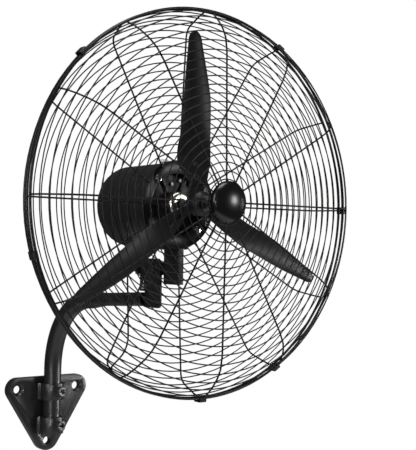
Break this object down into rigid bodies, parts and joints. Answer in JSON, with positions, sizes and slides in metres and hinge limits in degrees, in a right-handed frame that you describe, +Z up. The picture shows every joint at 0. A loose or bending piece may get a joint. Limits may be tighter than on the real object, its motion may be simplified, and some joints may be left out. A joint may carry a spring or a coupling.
{
  "type": "wall mounted fan",
  "caption": "Wall fan with a round wire guard, drum motor and slim blades, carried by a bent tube arm that swivels in clamps on a triangular wall plate.",
  "frame": {"origin": "centre of the wall plate's back face, on the wall", "axes": "+Z up, the wall is the plane y = 0, the fan blows towards -Y, +X to the right seen from the front"},
  "size_m": [0.7032, 0.6642, 0.8834],
  "materials": {
    "black_paint": "satin",
    "black_wire": "semi-gloss",
    "matte_black": "matte",
    "bright_steel": "zinc plated",
    "dark_steel": "oiled steel",
    "copper": "enamelled wire",
    "grey_plastic": "matte",
    "black_rubber": "matte"
  },
  "bodies": {
    "bracket": {"wall_plate": "black_paint", "upper_clamp": "black_paint", "lower_clamp": "black_paint", "foot_bush": "grey_plastic", "upper_set_screw": "dark_steel", "lower_set_screw": "dark_steel"},
    "arm": {"arm_tube": "black_paint", "tilt_plate": "black_paint", "pivot_bolt": "dark_steel", "pivot_washer_inner": "dark_steel", "pivot_washer_outer": "dark_steel", "pivot_nut": "dark_steel"},
    "head": {"motor_housing": "black_paint", "front_bell": "matte_black", "bearing_cap": "bright_steel", "front_bearing": "bright_steel", "rear_bearing": "bright_steel", "stator_core": "dark_steel", "winding_front": "copper", "winding_rear": "copper", "run_capacitor": "grey_plastic", "guard_ring_plate": "black_paint", "rear_guard": "black_wire", "front_guard": "black_wire", "centre_cap": "black_paint", "guard_centre_plate": "black_paint", "neck_bracket": "black_paint", "lock_screw": "bright_steel", "lock_washer": "dark_steel", "cord_grommet": "black_rubber", "housing_plug": "grey_plastic", "ring_screw_1": "bright_steel", "ring_screw_2": "bright_steel", "ring_screw_3": "bright_steel", "ring_screw_4": "bright_steel", "bell_screw_1": "bright_steel", "bell_screw_2": "bright_steel", "neck_screw_1": "dark_steel", "neck_screw_2": "dark_steel", "neck_screw_3": "dark_steel", "neck_screw_4": "dark_steel", "guard_clip_1": "matte_black", "guard_clip_2": "matte_black", "guard_clip_3": "matte_black", "guard_clip_4": "matte_black", "guard_clip_5": "matte_black", "guard_clip_6": "matte_black"},
    "rotor": {"rotor_shaft": "dark_steel", "rotor_core": "dark_steel", "blade_hub": "matte_black", "hub_nut": "dark_steel", "blade_1": "matte_black", "blade_2": "matte_black", "blade_3": "matte_black", "blade_screw_1": "dark_steel", "blade_screw_2": "dark_steel", "blade_screw_3": "dark_steel", "blade_screw_4": "dark_steel", "blade_screw_5": "dark_steel", "blade_screw_6": "dark_steel"}
  },
  "joints": [
    {"name": "arm_swivel", "type": "hinge", "parent": "bracket", "child": "arm", "pos_m": [0, -0.035, 0.05], "axis": [0, 0, 1], "range_deg": [-45, 45]},
    {"name": "head_tilt", "type": "hinge", "parent": "arm", "child": "head", "pos_m": [0.005, -0.427, 0.33], "axis": [1, 0, 0], "range_deg": [-15, 20]},
    {"name": "rotor_spin", "type": "hinge", "parent": "head", "child": "rotor", "pos_m": [0, -0.55, 0.45], "axis": [0, 1, 0], "continuous": true}
  ]
}
